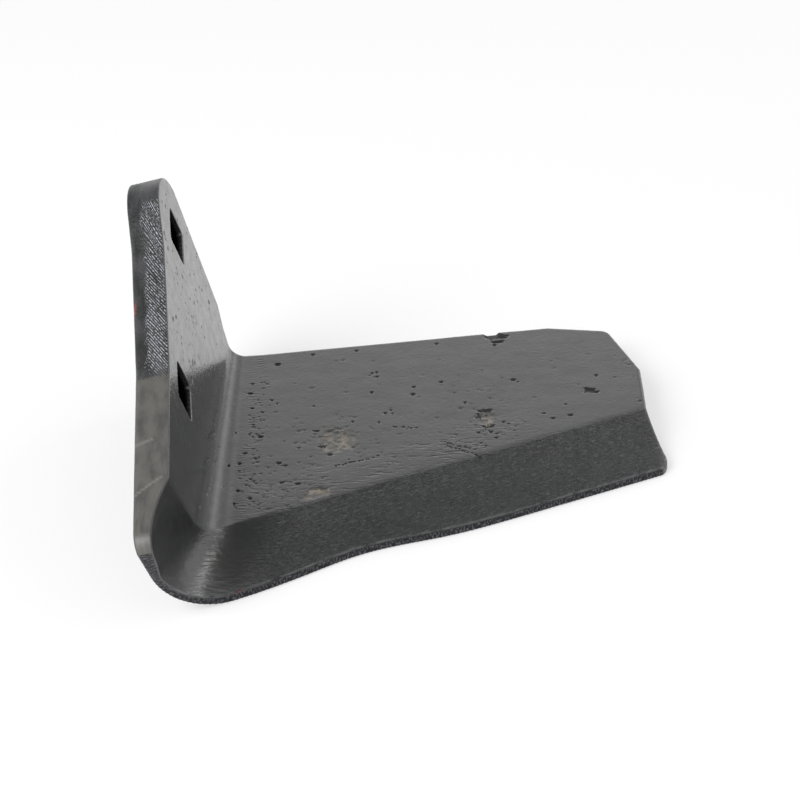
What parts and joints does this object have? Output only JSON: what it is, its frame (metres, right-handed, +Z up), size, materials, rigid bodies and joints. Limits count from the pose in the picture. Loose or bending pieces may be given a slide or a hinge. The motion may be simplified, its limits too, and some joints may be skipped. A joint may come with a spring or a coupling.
{
  "type": "cultivator sweep",
  "caption": "Bolt-on half sweep for a cultivator tine: a folded steel plate with a swept wing, a hollow-bevelled cutting edge and an upright flange with square bolt holes.",
  "frame": {"origin": "middle of the wing's flat underside, on the surface that it rests on", "axes": "+X outwards along the wing, square to the fold; +Y back along the fold; +Z up from the wing"},
  "size_m": [0.154, 0.1554, 0.0809],
  "materials": {
    "black_paint": "semi-gloss black paint on rough hot-rolled plate, pitted, worn through in small patches"
  },
  "bodies": {
    "root": {"wing_share": "black_paint"}
  },
  "joints": []
}
